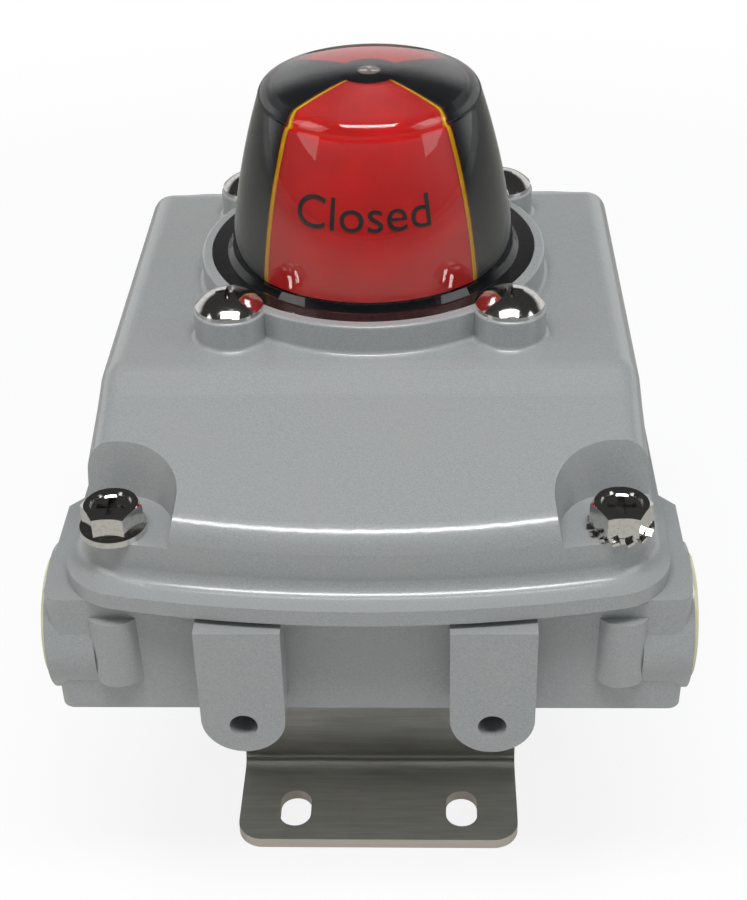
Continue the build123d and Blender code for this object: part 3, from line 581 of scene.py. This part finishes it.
def softbox(name, place, size, power, color=(1, 1, 1)):
    """A rectangular lamp at a place, turned to face the top of the box."""
    lamp = bpy.data.lights.new(name, "AREA")
    lamp.shape = "RECTANGLE"
    lamp.size, lamp.size_y = size
    lamp.energy = power
    lamp.color = color
    holder = bpy.data.objects.new(name, lamp)
    bpy.context.scene.collection.objects.link(holder)
    holder.location = place
    holder.rotation_euler = (Vector(TOP_OF_BOX) - Vector(place)).to_track_quat("-Z", "Y").to_euler()


def white_surroundings():
    """White where it is looked at. In gloss and glass it is white behind the box and dim in front,
    like a white backdrop at the end of a dim room."""
    world = bpy.data.worlds.new("surroundings")
    bpy.context.scene.world = world
    world.use_nodes = True
    tree = world.node_tree
    tree.nodes.clear()

    def add(kind, **settings):
        node = tree.nodes.new(kind)
        for key, setting in settings.items():
            setattr(node, key, setting)
        return node

    output = add("ShaderNodeOutputWorld")
    path = add("ShaderNodeLightPath")
    direction = add("ShaderNodeSeparateXYZ")
    tree.links.new(add("ShaderNodeTexCoord").outputs["Generated"], direction.inputs[0])
    behind = add("ShaderNodeMapRange", interpolation_type="SMOOTHSTEP")
    tree.links.new(direction.outputs["Y"], behind.inputs["Value"])
    behind.inputs["From Min"].default_value = 0.1
    behind.inputs["From Max"].default_value = 0.45
    high = add("ShaderNodeMapRange", interpolation_type="SMOOTHSTEP")
    tree.links.new(direction.outputs["Z"], high.inputs["Value"])
    high.inputs["From Min"].default_value = 0.3
    high.inputs["From Max"].default_value = 0.5
    high.inputs["To Min"].default_value = 1.0 - DIM_ROOM
    high.inputs["To Max"].default_value = 0.0
    backdrop = add("ShaderNodeMath", operation="MULTIPLY_ADD")
    tree.links.new(behind.outputs[0], backdrop.inputs[0])
    tree.links.new(high.outputs[0], backdrop.inputs[1])
    backdrop.inputs[2].default_value = DIM_ROOM
    fill = add("ShaderNodeBackground")
    fill.inputs[0].default_value = (0.93, 0.97, 1.0, 1.0)
    fill.inputs[1].default_value = 0.27
    mirrored = add("ShaderNodeBackground")
    tree.links.new(backdrop.outputs[0], mirrored.inputs[1])
    white = add("ShaderNodeBackground")
    white.inputs[0].default_value = (1.0, 1.0, 1.0, 1.0)
    seen_in_surface = add("ShaderNodeMath", operation="MAXIMUM")
    tree.links.new(path.outputs["Is Glossy Ray"], seen_in_surface.inputs[0])
    tree.links.new(path.outputs["Is Transmission Ray"], seen_in_surface.inputs[1])
    inner = add("ShaderNodeMixShader")
    tree.links.new(seen_in_surface.outputs[0], inner.inputs[0])
    tree.links.new(fill.outputs[0], inner.inputs[1])
    tree.links.new(mirrored.outputs[0], inner.inputs[2])
    outer = add("ShaderNodeMixShader")
    tree.links.new(path.outputs["Is Camera Ray"], outer.inputs[0])
    tree.links.new(inner.outputs[0], outer.inputs[1])
    tree.links.new(white.outputs[0], outer.inputs[2])
    tree.links.new(outer.outputs[0], output.inputs[0])


def pale_floor():
    """A disc of floor under the feet, z constant, drawn white where no shadow falls."""
    corners = 64
    turn = np.linspace(0, TURN, corners + 1)[:-1]
    level = np.full(corners, cad_low[2] - 0.00005)
    rim = np.stack([FLOOR_RADIUS * np.cos(turn), FLOOR_RADIUS * np.sin(turn), level], axis=1)
    mesh = bpy.data.meshes.new("floor")
    mesh.from_pydata(rim.tolist(), [], [list(range(corners))])
    floor = bpy.data.objects.new("floor", mesh)
    bpy.context.scene.collection.objects.link(floor)
    f = Finish("floor", (0.9, 0.9, 0.9), 0.8, Specular_IOR_Level=0.0)
    path = f.tree.nodes.new("ShaderNodeLightPath")
    glossy = Value(f, path.outputs["Is Glossy Ray"])
    mirrored = glossy.at_least(Value(f, path.outputs["Is Transmission Ray"]))
    f.color(f.mix(mirrored, (0.9, 0.9, 0.9), (0.5, 0.49, 0.45)))
    away = (f.axis("X") ** 2.0 + f.axis("Y") ** 2.0).band(0.05**2, 0.4**2)
    seen = Value(f, path.outputs["Is Camera Ray"]) * (0.85 + 0.15 * away)
    glow = f.node("ShaderNodeEmission", {}, (1.0, 1.0, 1.0, 1.0), 1.0)
    mixed = f.node("ShaderNodeMixShader", {}, seen, f.shader.outputs[0], glow.outputs[0])
    f.tree.links.new(mixed.outputs[0], f.output.inputs[0])
    mesh.materials.append(f.material)


white_surroundings()
pale_floor()
softbox("overhead", (0.0, -0.25, 0.75), (0.5, 0.16), 4.3)
softbox("left_window", (-0.7, -0.3, 0.5), (0.4, 0.5), 1.3, (1.0, 0.98, 0.95))
softbox("right_window", (0.7, -0.25, 0.5), (0.4, 0.5), 1.3, (0.95, 0.98, 1.0))


# ---------------------------------------------------------------- camera

def photographer():
    """Stands in front, looks down at the box, with a slight turn and roll."""
    pitch, yaw, roll = math.radians(33.78), math.radians(2.4), math.radians(-1.52)
    distance = 0.30607
    aim = Vector((-0.00088, 0.0, 0.05324))
    back = Vector((math.sin(yaw) * math.cos(pitch), -math.cos(yaw) * math.cos(pitch), math.sin(pitch)))
    level = Vector((math.cos(yaw), math.sin(yaw), 0.0))
    upright = back.cross(level)
    right = level * math.cos(roll) + upright * math.sin(roll)
    up = back.cross(right)
    camera = bpy.data.cameras.new("camera")
    camera.sensor_width = 36.0
    camera.lens = 66.58
    camera.clip_start = 0.01
    holder = bpy.data.objects.new("camera", camera)
    bpy.context.scene.collection.objects.link(holder)
    turn = Matrix((right, up, back)).transposed().to_4x4()
    holder.matrix_world = Matrix.Translation(aim + back * distance) @ turn
    bpy.context.scene.camera = holder


photographer()
bpy.context.scene.view_settings.view_transform = "Standard"
